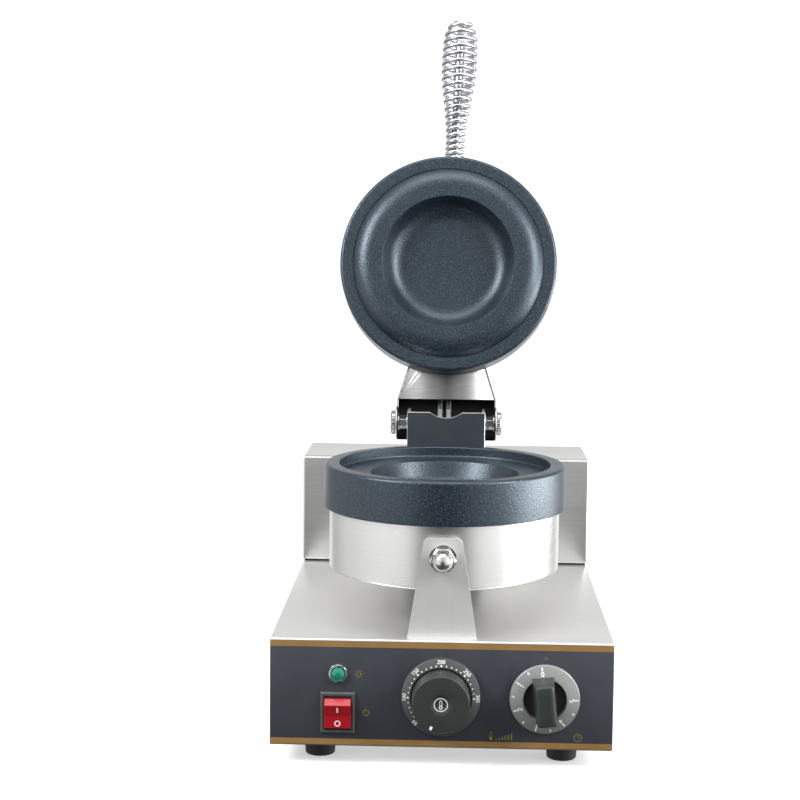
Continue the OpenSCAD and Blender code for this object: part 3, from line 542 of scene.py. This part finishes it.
def ribbon(bm, pts, w, z0, z1):
    """A flat stroke of width w along a polyline, with mitred corners."""
    P = [Vector(p) for p in pts]
    loop = (P[0] - P[-1]).length < 1e-4
    if loop:
        P = P[:-1]
    k = len(P)
    L, R = [], []
    for i in range(k):
        a = P[i - 1] if (i or loop) else P[0]
        b = P[(i + 1) % k] if (i < k - 1 or loop) else P[-1]
        d0 = (P[i] - a).normalized() if (P[i] - a).length > 1e-9 else None
        d1 = (b - P[i]).normalized() if (b - P[i]).length > 1e-9 else None
        d0, d1 = d0 or d1, d1 or d0
        t = (d0 + d1)
        t = t.normalized() if t.length > 1e-6 else d0
        nrm = Vector((-t.y, t.x))
        c = max(0.45, nrm.dot(Vector((-d0.y, d0.x))))
        L.append(P[i] + nrm * (w / 2 / c))
        R.append(P[i] - nrm * (w / 2 / c))
    rows = [[bm.verts.new((p.x, p.y, z)) for p in q] for q, z in ((L, z0), (R, z0), (R, z1), (L, z1))]
    for j in range(4):
        p, q = rows[j], rows[(j + 1) % 4]
        for i in range(k if loop else k - 1):
            bm.faces.new((p[i], p[(i + 1) % k], q[(i + 1) % k], q[i]))
    if not loop:
        bm.faces.new([rows[j][0] for j in range(4)])
        bm.faces.new([rows[j][-1] for j in range(3, -1, -1)])


def numeral(bm, text, r, ang, h, z0, z1, w=0.32, tops_out=True, gap=0.30):
    """Writes a number round a dial with its middle at radius r and angle ang."""
    s = h / 1.6
    adv = s * (1.0 + gap)
    total = adv * len(text) - s * gap
    turn = ang - 90 if tops_out else ang + 90
    c, sn = math.cos(rad(turn)), math.sin(rad(turn))
    cx, cy = r * math.cos(rad(ang)), r * math.sin(rad(ang))
    for i, ch in enumerate(text):
        for stroke in GLYPH[ch]:
            pts = []
            for x, y in stroke:
                lx, ly = x * s + i * adv - total / 2, y * s - h / 2
                pts.append((cx + lx * c - ly * sn, cy + lx * sn + ly * c))
            ribbon(bm, pts, w, z0, z1)


def sweep(name, pts, rr, mat, body, n=12, stands=(), cap=True, sharp=60.0):
    """A round wire along a dense path in millimetres."""
    P = [Vector(p) for p in pts]
    bm = bmesh.new()
    rings = []
    t0 = (P[1] - P[0]).normalized()
    nrm = t0.orthogonal().normalized()
    for i, p in enumerate(P):
        a = P[max(0, i - 1)]
        b = P[min(len(P) - 1, i + 1)]
        t = (b - a).normalized()
        nrm = (nrm - t * nrm.dot(t)).normalized()
        bi = t.cross(nrm)
        rings.append([bm.verts.new(p + (nrm * math.cos(2 * math.pi * k / n) + bi * math.sin(2 * math.pi * k / n)) * rr) for k in range(n)])
    for a, b in zip(rings, rings[1:]):
        for k in range(n):
            bm.faces.new((a[k], a[(k + 1) % n], b[(k + 1) % n], b[k]))
    if cap:
        for ring, t, s in ((rings[0], (P[0] - P[1]).normalized(), 1), (rings[-1], (P[-1] - P[-2]).normalized(), 1)):
            prev = ring
            c = P[0] if ring is rings[0] else P[-1]
            for q in (35, 65):
                new = [bm.verts.new(c + (v.co - c) * math.cos(rad(q)) + t * rr * math.sin(rad(q))) for v in ring]
                for k in range(n):
                    bm.faces.new((prev[k], prev[(k + 1) % n], new[(k + 1) % n], new[k]))
                prev = new
            tip = bm.verts.new(c + t * rr)
            for k in range(n):
                bm.faces.new((prev[k], prev[(k + 1) % n], tip))
    return to_object(name, bm, mat, body, sharp, None, stands)


# ------------------------------------------------------------------ plates and drums
Q = 14
low = fillet([(0, -28), (49.6, -28, 18), (57.6, -8, 0.4), (81.8, -8, 1.6), (81.8, -0.6, 0.3), (82.4, 0, 0.5), (92.95, 0, 2.6), (93.8, -32.6, 0.5), (93.2, -33, 0.2), (89.3, -33), (89.3, -28.2), (87, -28.2), (87, -17), (63, -17), (60.5, -18), (46, -35), (0, -35)], Q)
lathe("mould_plate_lower", low, "nonstick", "base", DRUM, 256, stands=["lower_plate"])
shoulder = []
for k in range(15):
    t = math.radians(53.1) * k / 14
    shoulder.append((66.1 + 18.75 * math.sin(t), 11.25 - 18.75 * math.cos(t)))
upp = fillet([(0, 12.5), (48.6, 12.5, 18), (56.6, -7.5, 0.4)] + shoulder + [(81.6, 0.45), (82.0, 0, 0.12), (92.95, 0, 2.6), (93.6, 32.6, 0.5), (93.0, 33, 0.2), (89.3, 33), (89.3, 28.2), (87, 28.2), (87, 9), (62, 9), (50.5, 20), (0, 20)], Q)
lathe("mould_plate_upper", upp, "nonstick_lid", "lid", LDRUM, 256, stands=["upper_plate"])
hl = fillet([(0, 0), (89, 0, 2.2), (89, 52.9, 0.15), (87.8, 52.9), (87.8, 1.2, 1.0), (0, 1.2)], Q)
lathe("drum_shell_lower", hl, "steel_ring", "base", T(0, PY, ZH), 256, stands=["lower_housing"])
hu = fillet([(0, 68.8), (87.8, 68.8, 2.8), (87.8, 28.3), (89, 28.3, 0.15), (89, 70, 4), (0, 70)], Q)
lathe("drum_shell_upper", hu, "steel_ring_lid", "lid", LDRUM, 256, stands=["upper_housing"])

# ------------------------------------------------------------------ casings
folded_box("casing_base", (-125, YF, 15), (125, 173.5, ZT), (2, -1), "steel_x", "base", ["base_shell"], 1.5)
bmf = bmesh.new()
sh = folded_box("casing_rear", (-125, 89.8, 96), (125, 173.5, 187.7), (1, 1), "steel_z", "base", ["rear_box_shell"], 1.5)
# the shadow gap under the rear box: an inset plinth, which gives real shade, in a black finish that is painted shade
bm = bmesh.new()
for lo, hi in (((-123.6, 91.2, ZT), (123.6, 93.0, 97.2)), ((-123.6, 93.0, ZT), (-121.8, 170.5, 97.2)), ((121.8, 93.0, ZT), (123.6, 170.5, 97.2))):
    slab(bm, lo, hi)
to_object("casing_rear_plinth_painted_shade", bm, "black", "base")
# turned-in flanges that hold the back panel
bm = bmesh.new()
for s in (-1, 1):
    slab(bm, (s * 124.4 if s < 0 else 113, 170.7, 97.5), (-113 if s < 0 else 124.4, 171.9, 187.1))
to_object("casing_rear_flanges", bm, "steel_z", "base")

# overlay film and its two gold borders
Z0, Z1 = 15.8, 93.3
bm = bmesh.new()
slab(bm, (-124.4, YO + 0.02, Z0), (124.4, YF - 0.02, Z1))
bmesh.ops.bevel(bm, geom=bm.edges[:], offset=0.12, segments=2, profile=0.5, affect="EDGES")
to_object("overlay_panel", bm, "overlay", "base", stands=["control_panel"])
bm = bmesh.new()
for a, b in ((Z0 + 0.15, Z0 + 4.5), (Z1 - 4.5, Z1 - 0.15)):
    slab(bm, (-124.25, YO - 0.03, a), (124.25, YO + 0.1, b))
to_object("overlay_gold_borders", bm, "gold", "base")

# ------------------------------------------------------------------ coil grip
G = LDRUM @ RZ(2.2) @ T(0, -94.4, 51) @ RX(90)
TAB = [(0, 6.9), (18, 6.9), (27, 6.95), (45, 8.7), (63.5, 11.5), (82, 13.85), (100, 14.15), (118, 13.25), (127, 10.4), (131, 8), (134, 4.4)]


def grip_r(s):
    """The coil radius along the grip, eased through the table with a smooth curve."""
    s = max(0.0, min(134.0, s))
    for i in range(len(TAB) - 1):
        if s <= TAB[i + 1][0]:
            x0, y0 = TAB[i]
            x1, y1 = TAB[i + 1]
            xa, ya = TAB[max(0, i - 1)]
            xb, yb = TAB[min(len(TAB) - 1, i + 2)]
            m0 = (y1 - ya) / (x1 - xa)
            m1 = (yb - y0) / (xb - x0)
            t = (s - x0) / (x1 - x0)
            h = x1 - x0
            v = (2 * t**3 - 3 * t**2 + 1) * y0 + (t**3 - 2 * t**2 + t) * h * m0 + (-2 * t**3 + 3 * t**2) * y1 + (t**3 - t**2) * h * m1
            return min(v, 14.15)
    return TAB[-1][1]


seg, turns = 44, 10 + (134 - 55.5) / 6.8
coil = []
for i in range(int(seg * turns) + 1):
    u = i / seg
    s = 4.3 * u + 0.125 * u * u if u < 10 else 55.5 + 6.8 * (u - 10)
    a = 2 * math.pi * u
    r = grip_r(s)
    coil.append(G @ Vector((r * math.cos(a), r * math.sin(a), s)))
sweep("grip_coil", coil, 1.85, "chrome", "lid", 16, ["handle_spring"])

# ------------------------------------------------------------------ thermostat
D = FRONT(0, 54)
dial = fillet([(8, 0.02), (28.7, 0.02, 0.1), (28.7, 5.0, 0.6), (22.2, 7, 0.25), (22.2, 3), (8, 3)], 6, True)
lathe("thermostat_dial_ring", dial, "dial", "base", D, 192, stands=["thermostat_dial"])
kp = [(0, 19.4), (0, 21.9)]
cap = [(3, 5.3), (3, 19.4), (0, 19.4), (0, 21.9)]
cap += [(19.1 * math.sin(rad(a)), 41.0 - 19.1 * math.cos(rad(a))) for a in (4, 8, 12, 16, 19, 21.5)]
cap += fillet([(7.0, 23.2), (7.9, 23.4, 0.8), (20.9, 23.4, 1.2), (21.3, 5.3)], 8)[1:-1] + [(21.3, 5.3)]
lathe("thermostat_cap", cap, "knob", "thermostat_knob_body", D, 192, sharp=40.0, stands=["thermostat_knob"])
bm = bmesh.new()
for i in range(26):
    a = 225 - 9 * i
    big = i % 5 == 0
    rr = 0.72 if big else 0.5
    disc(bm, 23.9 * math.cos(rad(a)), 23.9 * math.sin(rad(a)), rr, 0, 0.09, 16)
for i, t in enumerate(("50", "100", "150", "200", "250", "300")):
    a = 225 - 45 * i
    numeral(bm, t, 26.6, a, 2.5, 0, 0.09, 0.46)
for v in bm.verts:
    v.co.z += 6.98 - (math.hypot(v.co.x, v.co.y) - 22.2) * 2.0 / 6.5
to_object("thermostat_scale", bm, "white", "base", M=D)
bm = bmesh.new()
a = rad(248)
bar(bm, 17.0 * math.cos(a), 17.0 * math.sin(a), 19.6 * math.cos(a), 19.6 * math.sin(a), 2.0, 23.3, 23.46)
to_object("thermostat_index", bm, "white", "thermostat_knob_body", M=D)
bm = bmesh.new()
annulus(bm, 0, 0, 4.45, 5.05, 22.35, 22.62, 64)
# a plain thermometer sign inside the ring
ribbon(bm, [(-0.75, -1.3), (-0.75, 2.2)] + arc(0, 2.2, 0.75, 0.75, 180, 0, 10) + [(0.75, -1.3)], 0.42, 22.0, 22.32)
annulus(bm, 0, -2.1, 0.75, 1.35, 22.0, 22.32, 32)
to_object("thermostat_sign", bm, "white", "thermostat_knob_body", M=D)

# ------------------------------------------------------------------ timer
TM = FRONT(75, 53.5) @ RZ(6)
disc_p = fillet([(0, 0.45), (25.5, 0.45, 0.2), (25.5, 3.3, 0.9), (15.6, 6.0, 0.5), (15.0, 2.2, 0.4), (0, 2.2)], 8)
tk = lathe("timer_disc", disc_p, "timer", "timer_knob_body", TM, 192, stands=["timer_knob"])


def blade(bm):
    """The grip bar across the disc: tapered flanks, sloping ends, rounded top."""
    stations = [(-17.0, 4.6), (-16.2, 9.5), (-15.6, 15.0), (-15.2, 20.6), (-14.9, 22.2), (-14.3, 23.1), (-13.4, 23.4), (-6, 23.4), (0, 23.4), (6, 23.4), (13.4, 23.4), (14.3, 23.1), (14.9, 22.2), (15.2, 20.6), (15.6, 15.0), (16.2, 9.5), (17.0, 4.6)]
    rows = []
    for y, top in stations:
        wt = 5.5
        sec = []
        # flank from the base up to the shoulder, then a soft crown
        base_w = 8.2
        sh_ = max(2.6, top - 1.3)
        f = (sh_ - 2.3) / 20.0
        ws = base_w + (wt + 0.9 - base_w) * f
        wtp = ws - 1.0
        pts = [(-base_w, 2.3), (-ws, sh_), (-(ws - 0.25), top - 0.55), (-wtp, top), (-wtp * 0.5, top), (0, top), (wtp * 0.5, top), (wtp, top), (ws - 0.25, top - 0.55), (ws, sh_), (base_w, 2.3)]
        rows.append([bm.verts.new((x, y, z)) for x, z in pts])
    for a, b in zip(rows, rows[1:]):
        for i in range(len(a) - 1):
            bm.faces.new((a[i], a[i + 1], b[i + 1], b[i]))
        bm.faces.new((a[-1], a[0], b[0], b[-1]))
    bm.faces.new(rows[0])
    bm.faces.new(list(reversed(rows[-1])))


bm = bmesh.new()
blade(bm)
to_object("timer_grip", bm, "knob", "timer_knob_body", sharp=50.0, M=TM)
bm = bmesh.new()
annulus(bm, 0, 0, 0.5, 14.9, 2.1, 2.35, 96)
to_object("timer_well", bm, "black", "timer_knob_body", M=TM)
bm = bmesh.new()
z0_, z1_ = 0.0, 0.10
for i in range(11):
    a = 90 + 26.4 * i
    c, s = math.cos(rad(a)), math.sin(rad(a))
    if i % 2:
        bar(bm, 21.9 * c, 21.9 * s, 23.9 * c, 23.9 * s, 0.95, z0_, z1_)
    else:
        bar(bm, 21.6 * c, 21.6 * s, 24.2 * c, 24.2 * s, 0.95, z0_, z1_)
        numeral(bm, str(i // 2), 19.4, a, 3.3, z0_, z1_, 0.68)
for v in bm.verts:
    v.co.z += 5.97 - (math.hypot(v.co.x, v.co.y) - 15.6) * 2.7 / 9.9
to_object("timer_scale", bm, "white", "timer_knob_body", M=TM)

# ------------------------------------------------------------------ printed signs on the overlay
S = FRONT(0, 0)
bm = bmesh.new()
z0_, z1_ = 0.0, 0.05
disc(bm, 75.6, 83.0, 0.75, z0_, z1_, 16)
# lamp sign
x, y = -60, 69
annulus(bm, x, y, 1.35, 1.8, z0_, z1_, 32)
for i in range(8):
    a = rad(45 * i)
    bar(bm, x + 2.5 * math.cos(a), y + 2.5 * math.sin(a), x + 3.4 * math.cos(a), y + 3.4 * math.sin(a), 0.45, z0_, z1_)
# power sign
x, y = -54.5, 40.2
annulus(bm, x, y, 2.0, 2.5, z0_, z1_, 36, 120, 420)
bar(bm, x, y + 0.6, x, y + 3.3, 0.5, z0_, z1_)
# thermometer sign and a rising wedge
x, y = 36.5, 24.6
ribbon(bm, [(x - 0.7, y - 0.9), (x - 0.7, y + 2.5)] + arc(x, y + 2.5, 0.7, 0.7, 180, 0, 8) + [(x + 0.7, y - 0.9)], 0.4, z0_, z1_)
disc(bm, x, y - 1.7, 1.3, z0_, z1_, 24)
for i in range(6):
    bar(bm, x + 4.0 + 2.2 * i, y - 2.9, x + 4.0 + 2.2 * i, y - 1.9 + 0.8 * i, 0.9, z0_, z1_)
# clock sign
x, y = 99.5, 24.6
annulus(bm, x, y, 2.5, 3.0, z0_, z1_, 40)
bar(bm, x, y - 0.2, x, y + 1.9, 0.45, z0_, z1_)
bar(bm, x - 0.2, y, x + 1.5, y, 0.45, z0_, z1_)
to_object("overlay_signs", bm, "olive", "base", M=S)

# ------------------------------------------------------------------ rocker marks
RK = FRONT(-75, 40) @ T(0, 0, -3.8) @ RX(12)


def on_rocker(bm, f):
    pass


# upper face runs from [8,0] to [9.3,9.2] and the lower from [8,0] to [9.3,-9.2] (outwards, up)
ang = math.degrees(math.atan2(1.3, 9.2))
bm = bmesh.new()
bm2 = bmesh.new()
bar(bm2, 0, 3.2, 0, 7.4, 1.25, 0.0, 0.09)
bm2.transform(T(0, 0, 8.0) @ RX(ang))
me = bpy.data.meshes.new("tmp")
bm2.to_mesh(me)
bm.from_mesh(me)
bm2.free()
bm2 = bmesh.new()
annulus(bm2, 0, -5.6, 1.45, 2.3, 0.0, 0.09, 40)
bm2.transform(T(0, 0, 8.0) @ RX(-ang))
me2 = bpy.data.meshes.new("tmp2")
bm2.to_mesh(me2)
bm.from_mesh(me2)
bm2.free()
to_object("rocker_marks", bm, "white", "rocker_body", M=RK)

# ------------------------------------------------------------------ finishes of the CAD nodes
FIN = {
    "base_bottom": "zinc", "bottom_screws": "zinc", "rubber_feet": "rubber", "foot_screws": "zinc",
    "rear_box_back": "steel_z", "rear_box_screws": "zinc", "cable_gland": "black", "gland_locknut": "black",
    "terminal_block": "bakelite", "earth_stud": "brass", "pilot_lamp_bezel": "ring", "pilot_lamp_lens": "green",
    "pilot_lamp_body": "black", "rocker_frame": "frame", "rocker": "red", "rocker_pin": "zinc",
    "thermostat_shaft": "zinc", "thermostat_body": "bakelite", "control_screws": "zinc", "timer_shaft": "zinc",
    "timer_body": "bakelite", "capillary": "copper", "wiring_harness": "wire", "lower_element": "element",
    "lower_element_clamp": "zinc", "lower_insulation": "wool", "lower_plate_screws": "zinc",
    "front_bracket": "bracket", "front_bracket_screws": "zinc", "front_stud": "satin", "front_cap_nut": "bright",
    "rear_standoff": "satin", "rear_stud": "zinc", "wire_sleeve": "sleeve", "grommets": "rubber",
    "hinge_post": "post", "hinge_post_screws": "zinc", "hinge_bolts": "satin", "hinge_nuts": "bright",
    "hinge_locknuts": "zinc", "heater_leads": "lead", "lid_leads": "lead", "hinge_neck": "neck",
    "neck_cover": "cover", "upper_element": "element", "upper_element_clamp": "zinc", "upper_insulation": "wool",
    "upper_plate_screws": "zinc", "handle_rod": "satin",
}
BEVEL = {"front_bracket": 0.35, "hinge_post": 0.45, "hinge_neck": 0.35, "neck_cover": 0.35, "rocker_frame": 0.35,
         "rocker": 0.5, "base_bottom": 0.3, "rear_box_back": 0.25, "front_cap_nut": 0.25, "hinge_nuts": 0.25,
         "hinge_locknuts": 0.25, "cable_gland": 0.3, "gland_locknut": 0.3, "rear_stud": 0.3, "terminal_block": 0.4}
for name, mat in FIN.items():
    o = N[name]
    me = o.data
    me.materials.clear()
    me.materials.append(MS[mat])
    for p in me.polygons:
        p.material_index = 0
    if name in BEVEL:
        w = o.modifiers.new("weld", "WELD")
        w.merge_threshold = 0.000005
        b = o.modifiers.new("edge", "BEVEL")
        b.width = BEVEL[name] * 0.001
        b.segments = 3
        b.limit_method = "ANGLE"
        b.angle_limit = rad(40)
        b.use_clamp_overlap = True
        b.harden_normals = False
        if name == "hinge_post":
            me.materials.append(MS["satin"])
            b.material = 1
# the inner faces of the hinge neck take the near-black finish: painted shade inside the channel
inv = (LDRUM @ T(0, 136.6, 12.9)).inverted()
me = N["hinge_neck"].data
me.materials.append(MS["soot"])
for p in me.polygons:
    c = inv @ (Vector(p.center) * 1000)
    nn = inv.to_3x3() @ Vector(p.normal)
    if (abs(nn.x) > 0.7 and nn.x * c.x < 0 and abs(c.x) > 20) or (nn.z < -0.3 and c.z > 21.0) or (nn.y < -0.5 and c.z > 0 and abs(nn.x) < 0.5 and c.y > -2.5):
        p.material_index = 1

# ------------------------------------------------------------------ floor and light
bm = bmesh.new()
bmesh.ops.create_grid(bm, x_segments=2, y_segments=2, size=9.0)
me = bpy.data.meshes.new("floor")
bm.to_mesh(me)
bm.free()
floor = bpy.data.objects.new("floor", me)
sc.collection.objects.link(floor)
FM = Mat("floor_white")
FM.b.inputs["Base Color"].default_value = (0.90, 0.90, 0.90, 1)
FM.b.inputs["Roughness"].default_value = 0.9
FM.b.inputs["Specular IOR Level"].default_value = 0.1
FM.b.inputs["Emission Color"].default_value = (1, 1, 1, 1)
FM.b.inputs["Emission Strength"].default_value = 0.42
me.materials.append(FM.m)
floor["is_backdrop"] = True
floor.visible_glossy = False
floor.visible_diffuse = False

w = bpy.data.worlds.new("studio")
sc.world = w
w.use_nodes = True
wn = w.node_tree
bg = wn.nodes["Background"]
tc = wn.nodes.new("ShaderNodeTexCoord")
sep = wn.nodes.new("ShaderNodeSeparateXYZ")
wn.links.new(tc.outputs["Generated"], sep.inputs[0])


def wm(op, a, b=None, clamp=False):
    o = wn.nodes.new("ShaderNodeMath")
    o.operation = op
    o.use_clamp = clamp
    for i, v in enumerate((a, b)):
        if v is None:
            continue
        if isinstance(v, (int, float)):
            o.inputs[i].default_value = v
        else:
            wn.links.new(v, o.inputs[i])
    return o.outputs[0]


# a white room; only straight behind the camera and low down is it dark
az = wm("DIVIDE", wm("ABSOLUTE", wm("ARCTAN2", sep.outputs["X"], wm("MULTIPLY", sep.outputs["Y"], -1.0))), math.pi)


def wramp(fac, stops):
    r = wn.nodes.new("ShaderNodeValToRGB")
    wn.links.new(fac, r.inputs["Fac"])
    r.color_ramp.interpolation = "EASE"
    e = r.color_ramp.elements
    for i, (pos, v) in enumerate(stops):
        k = e[i] if i < 2 else e.new(pos)
        k.position, k.color = pos, (v, v, v * 1.004, 1)
    return r.outputs["Color"]


def wsmooth(v, a, b):
    mr = wn.nodes.new("ShaderNodeMapRange")
    mr.interpolation_type = "SMOOTHSTEP"
    wn.links.new(v, mr.inputs["Value"])
    mr.inputs["From Min"].default_value, mr.inputs["From Max"].default_value = a, b
    return mr.outputs["Result"]


def wmix(fac, a, b):
    o = wn.nodes.new("ShaderNodeMix")
    o.data_type = "RGBA"
    for k, v in ((0, fac), (6, a), (7, b)):
        wn.links.new(v, o.inputs[k])
    return o.outputs[2]


low_ = wramp(az, ((0.0, 0.05), (0.085, 0.07), (0.21, 1.10), (0.35, 1.05), (0.6, 0.80), (0.80, 0.45)))
high_ = wramp(az, ((0.0, 1.00), (0.085, 1.05), (0.16, 0.80), (0.35, 0.60), (0.6, 0.50), (1.0, 0.55)))
back_lo = wramp(az, ((0.0, 1.25), (1.0, 1.25)))
back_hi = wramp(az, ((0.0, 0.55), (1.0, 0.55)))
top_ = wramp(az, ((0.0, 0.75), (1.0, 0.75)))
under = wramp(az, ((0.0, 0.10), (1.0, 0.16)))
front_w = wmix(wsmooth(sep.outputs["Z"], 0.0, 0.34), low_, high_)
front_w = wmix(wsmooth(sep.outputs["Z"], -0.62, -0.16), under, front_w)
back_w = wmix(wsmooth(sep.outputs["Z"], 0.135, 0.26), back_lo, back_hi)
wall = wmix(wsmooth(az, 0.80, 0.90), front_w, back_w)
# the narrow dark gap where the camera stands
gap = wramp(az, ((0.0, 0.06), (0.018, 0.06), (0.052, 1.0), (1.0, 1.0)))
gm = wn.nodes.new("ShaderNodeMix")
gm.data_type = "RGBA"
gm.blend_type = "MULTIPLY"
gm.inputs[0].default_value = 1.0
wn.links.new(wall, gm.inputs[6])
wn.links.new(gap, gm.inputs[7])
wall = gm.outputs[2]
room = wmix(wsmooth(sep.outputs["Z"], 0.45, 0.9), wall, top_)
wn.links.new(room, bg.inputs["Color"])
bg.inputs["Strength"].default_value = 1.0


def area(name, loc, target, size, power, col=(1, 1, 1)):
    l = bpy.data.lights.new(name, "AREA")
    l.shape = "RECTANGLE"
    l.size, l.size_y = size
    l.energy = power
    l.color = col
    o = bpy.data.objects.new(name, l)
    sc.collection.objects.link(o)
    o.location = loc
    o.rotation_mode = "QUATERNION"
    o.rotation_quaternion = (Vector(target) - Vector(loc)).to_track_quat("-Z", "Y")
    return o


area("soft_left", (-1.25, -0.80, 1.20), (0, 0, 0.33), (0.55, 0.70), 22)
area("soft_right", (1.35, -0.75, 0.95), (0, 0, 0.33), (0.50, 0.80), 20)
area("soft_side", (1.60, 0.10, 0.15), (0, 0, 0.17), (1.5, 0.52), 25)
area("soft_top", (0, -0.30, 1.9), (0, 0, 0.2), (1.5, 1.0), 13)

sc.view_settings.view_transform = "Standard"
sc.view_settings.look = "None"
sc.view_settings.exposure = 0.0

lo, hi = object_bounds()
